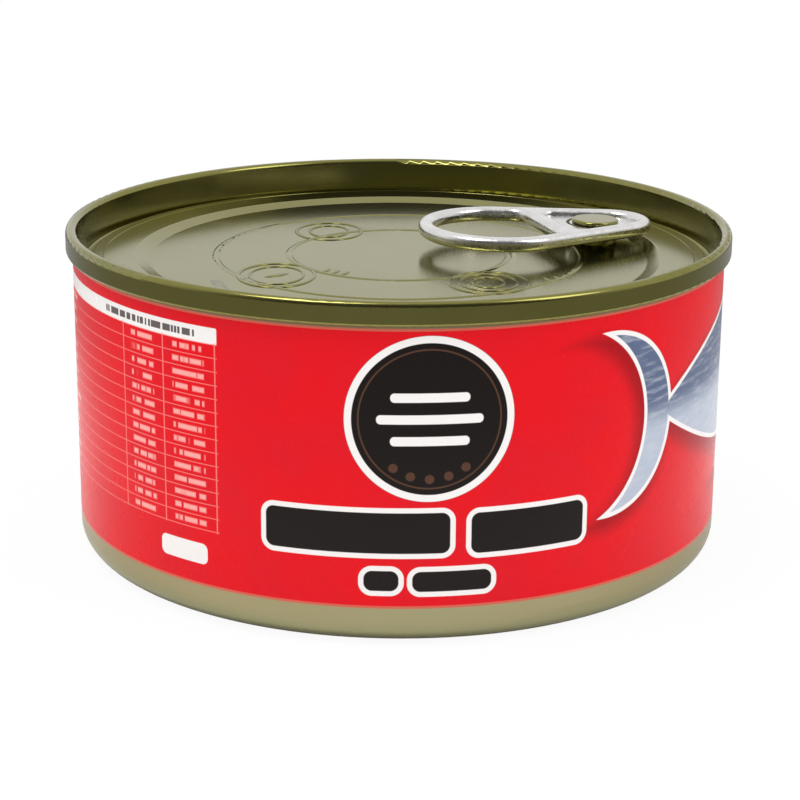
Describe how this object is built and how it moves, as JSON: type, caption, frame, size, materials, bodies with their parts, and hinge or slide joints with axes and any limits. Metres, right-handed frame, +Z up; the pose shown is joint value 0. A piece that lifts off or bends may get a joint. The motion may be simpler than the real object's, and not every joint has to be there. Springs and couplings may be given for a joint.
{
  "type": "tuna can",
  "caption": "Short round tinned-fish can, shut: drawn metal body with a rounded bottom edge, rolled seam, recessed easy-open end and a ring pull.",
  "frame": {"origin": "centre of the standing ring, on the surface the can stands on", "axes": "+Z up along the can's axis; the ring pull lies towards +X, turned 18.5 degrees towards +Y; the front of the print faces -Y"},
  "size_m": [0.086, 0.086, 0.042],
  "materials": {
    "body_metal": "gloss printed lacquer on tinplate, gold lacquer at the bottom edge",
    "lid_metal": "glossy olive-gold lacquer on tinplate",
    "tab_metal": "bright tinplate, satin to gloss"
  },
  "bodies": {
    "root": {"can_body": "body_metal", "lid": "lid_metal", "ring_pull": "tab_metal"}
  },
  "joints": []
}
